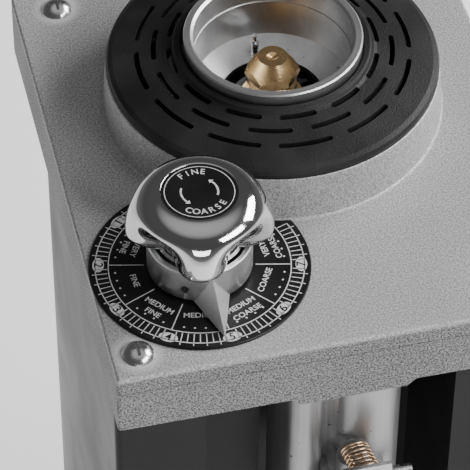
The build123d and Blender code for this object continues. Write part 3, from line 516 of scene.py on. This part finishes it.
def dialPrint():
    look = dialLook
    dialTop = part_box("dial_plate")[1].z
    white = Print(knobAxis.x, knobAxis.y, dialTop, look["thick"])
    white.keep = outsideBoss
    black = Print(knobAxis.x, knobAxis.y, dialTop, look["thick"] * 2)
    black.keep = outsideBoss
    half = look["line"] / 2
    for radius in (look["ringIn"], look["ringOut"]):
        white.arc(radius - half, radius + half, 0.0, 360.0)
    long, short = look["oval"]
    for number in range(10):
        angle = look["first"] + look["step"] * number
        white.spoke(look["separatorIn"], look["ringIn"], angle, look["line"])
        if number <= look["last"]:
            white.oval(look["numberRadius"], angle, long, short)
            black.words(str(number), look["numberRadius"], angle, look["numberSize"])
        for tick in range(1, 10):
            spot = angle + look["step"] * tick / 10
            far = look["tickLong"] if tick % 2 == 0 else look["tickShort"]
            white.spoke(look["tickIn"], far, spot, look["tickWidth"])
            if tick % 2 == 0:
                white.oval(look["dotRadius"], spot, look["dotSize"], look["dotSize"], 10)
    for sector, lines in enumerate(look["words"]):
        angle = look["first"] + look["step"] * (sector + 0.5)
        for radius, text in zip(look["wordRadii"][::-1], lines):
            white.words(text, radius, angle, look["wordSize"])
    white.finish("dialPrint", finishes["white_print"], "housing")
    black.finish("dialNumbers", finishes["dial_black"], "housing")


dialPrint()

labelLook = {"thick": 0.00004, "radius": 0.0098, "size": 0.0036, "ringIn": 0.0122, "ringOut": 0.0125,
             "arrowIn": 0.0062, "arrowOut": 0.0069, "arrowHead": 0.0011, "arrows": (5.0, 185.0),
             "arrowHalf": 32, "arrowTip": 44, "pitch": 16.0,
             "words": (("FINE", 95.0, -1), ("COARSE", -85.0, 1))}


def labelPrint():
    look = labelLook
    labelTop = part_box("knob_label")[1].z
    white = Print(knobAxis.x, knobAxis.y, labelTop, look["thick"])
    white.arc(look["ringIn"], look["ringOut"], 0.0, 360.0, 4.0)
    for text, middle, lean in look["words"]:
        for index, letter in enumerate(text):
            angle = middle + lean * (index - (len(text) - 1) / 2) * look["pitch"]
            white.words(letter, look["radius"], angle, look["size"], -90.0 if lean < 0 else 90.0)
    half = look["arrowHalf"]
    head = look["arrowHead"]
    for middle in look["arrows"]:
        white.arc(look["arrowIn"], look["arrowOut"], middle - half, middle + half, 4.0)
        tip, base = radians(middle + look["arrowTip"]), radians(middle + half)
        centre = (look["arrowIn"] + look["arrowOut"]) / 2
        white.patch([(cos(base) * (centre - head), sin(base) * (centre - head)),
                     (cos(base) * (centre + head), sin(base) * (centre + head)),
                     (cos(tip) * centre, sin(tip) * centre)])
    white.finish("labelPrint", finishes["white_print"], "knob")


labelPrint()
print("stage: dial and label printed")


# a tube swept along points
def tube(name, points, radius, finish, body):
    curve = bpy.data.curves.new(name, "CURVE")
    curve.dimensions = "3D"
    curve.bevel_depth = radius
    curve.bevel_resolution = 3
    curve.use_fill_caps = True
    line = curve.splines.new("POLY")
    line.points.add(len(points) - 1)
    for index, point in enumerate(points):
        line.points[index].co = (*point, 1.0)
    holder = bpy.data.objects.new(name, curve)
    bpy.context.scene.collection.objects.link(holder)
    mesh = meshFrom(holder)
    mesh.name = name
    bpy.data.objects.remove(holder)
    bpy.data.curves.remove(curve)
    for polygon in mesh.polygons:
        polygon.use_smooth = True
    return newObject(name, mesh, finish, body)


springLook = {"wire": 0.00045, "cadWire": 0.00065, "radius": 0.00515, "coils": 7.5, "lean": 14.0,
              "sideways": 0.22, "deadCoils": 1.0, "keep": 0.62}


# the spring stands square to the leaning thumb plate, between it and the seat on the chute
def spring():
    look = springLook
    low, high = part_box("clamp_spring")
    lean = radians(look["lean"])
    axis = Vector((0, -cos(lean), -sin(lean)))
    side = Vector((1, 0, 0))
    up = axis.cross(side)
    middle = (low + high) / 2
    reach = (high.y - low.y) - 2 * (look["radius"] + look["cadWire"]) * sin(lean)
    length = reach / cos(lean) - look["cadWire"]
    seat = middle - axis * length / 2
    total = look["coils"]
    points = []
    steps = int(total * 28)
    for part in range(steps + 1):
        turns = total * part / steps
        share = (turns - look["deadCoils"]) / (total - 2 * look["deadCoils"])
        share = min(1.0, max(0.0, share))
        dead = look["wire"] * 2
        rise = min(turns, look["deadCoils"]) * dead
        rise += max(0.0, turns - total + look["deadCoils"]) * dead
        rise += share * (length - 2 * look["deadCoils"] * dead)
        angle = 2 * pi * turns
        points.append(seat + axis * rise + side * rise * look["sideways"]
                      + (side * cos(angle) + up * sin(angle)) * look["radius"])
    made = tube("springCoil", points, look["wire"], finishes["spring_wire"], "housing")
    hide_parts("clamp_spring")
    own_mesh(made)


spring()

capLook = {
    "rim": 0.0143, "label": 0.0136, "equator": 0.0210, "radius": 0.0265, "under": 0.0168, "stem": 0.0164,
    "scoops": 4, "firstScoop": -56.0, "depth": 0.0110, "fadeTop": 0.0345, "fadeLow": 0.0235, "width": 1.25,
    "around": 240, "domeSteps": 34, "underSteps": 16, "lip": 0.0005,
}


# how far the finger scoops pull the cap's side in, at one angle and height
def scoopPull(angle, z):
    look = capLook
    share = 0.5 + 0.5 * cos(look["scoops"] * (angle - radians(look["firstScoop"])))
    fade = (look["fadeTop"] - z) / (look["fadeTop"] - look["fadeLow"])
    fade = min(1.0, max(0.0, fade))
    return look["depth"] * share ** look["width"] * fade * fade * (3 - 2 * fade)


def knobSkin():
    look = capLook
    low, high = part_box("knob_cap")
    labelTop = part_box("knob_label")[1].z
    top = high.z - plateTop
    profile = [(0.0, labelTop - plateTop - 0.0004), (look["label"], labelTop - plateTop - 0.0004),
               (look["label"], top - look["lip"] / 2), (look["label"] + look["lip"] / 2, top),
               (look["rim"], top)]
    for step in range(1, look["domeSteps"] + 1):
        turn = pi / 2 * (1 - step / look["domeSteps"])
        profile.append((look["rim"] + (look["radius"] - look["rim"]) * cos(turn),
                        look["equator"] + (top - look["equator"]) * sin(turn)))
    for step in range(1, look["underSteps"] + 1):
        turn = pi / 2 * step / look["underSteps"]
        profile.append((look["stem"] + (look["radius"] - look["stem"]) * cos(turn),
                        look["equator"] - (look["equator"] - look["under"]) * sin(turn)))
    profile.append((look["stem"] - 0.0002, low.z - plateTop + 0.0005))
    profile.append((look["stem"] - 0.0007, low.z - plateTop))
    verts, faces = [], []
    count = look["around"]
    for radius, z in profile:
        for part in range(count):
            angle = 2 * pi * part / count
            reach = radius
            if radius > look["rim"]:
                reach = max(radius - scoopPull(angle, z), min(radius, look["stem"]))
            verts.append((knobAxis.x + reach * cos(angle), knobAxis.y + reach * sin(angle), plateTop + z))
    for row in range(len(profile) - 1):
        for part in range(count):
            nextPart = (part + 1) % count
            a, b = row * count + part, row * count + nextPart
            faces.append((a, a + count, b + count, b))
    mesh = bpy.data.meshes.new("knobSkin")
    mesh.from_pydata(verts, [], faces)
    work = bmesh.new()
    work.from_mesh(mesh)
    bmesh.ops.remove_doubles(work, verts=work.verts, dist=1e-7)
    bmesh.ops.recalc_face_normals(work, faces=work.faces)
    work.to_mesh(mesh)
    work.free()
    mesh.shade_smooth()
    made = newObject("knobSkin", mesh, finishes["chrome"], "knob")
    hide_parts("knob_cap")


knobSkin()

seamLook = {"drop": 0.0080, "proud": 0.00012, "height": 0.00035, "corner": 0.001, "backGap": 0.02}


# the faint raised line that the casting mould leaves round the skirt
def mouldSeam():
    look = seamLook
    left, right = lowPlate.x - look["proud"], highPlate.x + look["proud"]
    back, turn = highPlate.y - look["backGap"], lowPlate.y + look["corner"]
    front = lowPlate.y - look["proud"]
    z = plateTop - look["drop"]
    points = [(left, back), (left, turn), (lowPlate.x + look["corner"], front),
              (highPlate.x - look["corner"], front), (right, turn), (right, back)]
    verts, faces = [], []
    for px, py in points:
        verts += [(px, py, z - look["height"] / 2), (px, py, z + look["height"] / 2)]
    for index in range(len(points) - 1):
        start = 2 * index
        faces.append((start, start + 2, start + 3, start + 1))
    mesh = bpy.data.meshes.new("mouldSeam")
    mesh.from_pydata(verts, [], faces)
    made = newObject("mouldSeam", mesh, finishes["cast_silver"], "housing")


mouldSeam()
print("stage: spring and seam made")

softEdges = {
    "body_shell": 0.0006, "recess_panel": 0.0003, "base_casting": 0.0012, "top_plate": 0.0005,
    "throat": 0.0004, "chute": 0.0005, "plate_screws": 0.00025, "clamp_lever": 0.0003,
    "switch_rocker": 0.0004, "switch_frame": 0.0004, "vented_cover": 0.0003, "clamp_pad": 0.0004,
    "lower_burr_carrier": 0.0004, "cable_gland": 0.0004, "pointer_collar": 0.0002,
}
for name, width in softEdges.items():
    edge = nodes[name].modifiers.new("softEdge", "BEVEL")
    edge.width = width
    edge.segments = 2
    edge.limit_method = "ANGLE"
    edge.angle_limit = radians(38)
    edge.harden_normals = True
    edge.use_clamp_overlap = True

for name in ("lock_nut", "cap_nut"):
    nodes[name].data.shade_flat()

floorLook = {"size": 6.0, "colour": (0.90, 0.90, 0.90), "fleck": 0.985, "rough": 0.8, "glow": 0.6}


def makeFloor():
    half = floorLook["size"] / 2
    mesh = bpy.data.meshes.new("floor")
    corners = [(-half, -half, 0), (half, -half, 0), (half, half, 0), (-half, half, 0)]
    mesh.from_pydata(corners, [], [(0, 1, 2, 3)])
    made = Finish("floorPaper")
    grain = made.noise(30.0, 4.0)
    fleck = tuple(c * floorLook["fleck"] for c in floorLook["colour"])
    shade = made.mix(grain, floorLook["colour"], fleck)
    made.skin.inputs["Emission Color"].default_value = (1.0, 1.0, 1.0, 1.0)
    made.skin.inputs["Emission Strength"].default_value = floorLook["glow"]
    finish = made.surface(colour=shade, rough=floorLook["rough"], normal=made.bump(grain, 0.0001, 0.2))
    floor = newObject("floor", mesh, finish, None)


makeFloor()

lights = {
    "key": {"at": (1.15, 0.25, 1.15), "towards": (0.05, 0.0, 0.36), "size": 0.9, "tall": 0.5,
            "power": 25.0},
    "fill": {"at": (0.9, -0.9, 1.3), "towards": (0.0, 0.0, 0.30), "size": 1.1, "tall": 0.35,
             "power": 17.0},
    "front": {"at": (-0.3, -1.5, 0.7), "towards": (0.0, 0.0, 0.28), "size": 0.8, "tall": 0.3,
              "power": 4.0},
}


def addLight(name, look):
    lamp = bpy.data.lights.new(name, "AREA")
    lamp.shape = "RECTANGLE"
    lamp.size = look["size"]
    lamp.size_y = look["tall"]
    lamp.energy = look["power"]
    made = bpy.data.objects.new(name, lamp)
    made.location = look["at"]
    aim = Vector(look["towards"]) - Vector(look["at"])
    made.rotation_euler = aim.to_track_quat("-Z", "Y").to_euler()
    bpy.context.scene.collection.objects.link(made)


for name, look in lights.items():
    addLight(name, look)

roomLook = {"dark": (0.06, 0.06, 0.06), "bright": (1.0, 1.0, 1.0), "strength": 0.9,
            "stops": ((0.0, 0.6), (0.40, 0.6), (0.48, 0.15), (0.66, 0.04), (0.88, 0.05), (0.95, 0.5),
                      (1.0, 0.6))}


# a studio tent: pale low down and overhead, with a dark band between
def makeRoom():
    look = roomLook
    world = bpy.data.worlds.new("studioTent")
    world.use_nodes = True
    tree = world.node_tree
    place = tree.nodes.new("ShaderNodeTexCoord")
    split = tree.nodes.new("ShaderNodeSeparateXYZ")
    tree.links.new(place.outputs["Generated"], split.inputs[0])
    height = Wire(tree, split.outputs[2]) * 0.5 + 0.5
    ramp = tree.nodes.new("ShaderNodeValToRGB")
    feed(tree, ramp.inputs[0], height)
    stops = ramp.color_ramp.elements
    while len(stops) < len(look["stops"]):
        stops.new(0.5)
    for stop, (at, share) in zip(stops, look["stops"]):
        stop.position = at
        stop.color = (*[d + (b - d) * share for d, b in zip(look["dark"], look["bright"])], 1.0)
    background = tree.nodes["Background"]
    tree.links.new(ramp.outputs[0], background.inputs["Color"])
    background.inputs["Strength"].default_value = look["strength"]
    bpy.context.scene.world = world


makeRoom()

cameraLook = {"at": (-0.20960, -0.77048, 1.17812), "forward": (0.163118, 0.669231, -0.724930),
              "roll": 0.48, "lens": 233.05, "sensor": 36.0}


def addCamera():
    look = cameraLook
    lens = bpy.data.cameras.new("viewer")
    lens.lens = look["lens"]
    lens.sensor_width = look["sensor"]
    lens.clip_start = 0.01
    made = bpy.data.objects.new("viewer", lens)
    forward = Vector(look["forward"]).normalized()
    right = forward.cross(Vector((0, 0, 1))).normalized()
    up = right.cross(forward)
    roll = radians(look["roll"])
    tiltedRight = right * cos(roll) + up * sin(roll)
    tiltedUp = up * cos(roll) - right * sin(roll)
    turn = Matrix((tiltedRight, tiltedUp, -forward)).transposed()
    made.matrix_world = Matrix.Translation(look["at"]) @ turn.to_4x4()
    bpy.context.scene.collection.objects.link(made)
    bpy.context.scene.camera = made


addCamera()
print("stage: lights and camera placed")
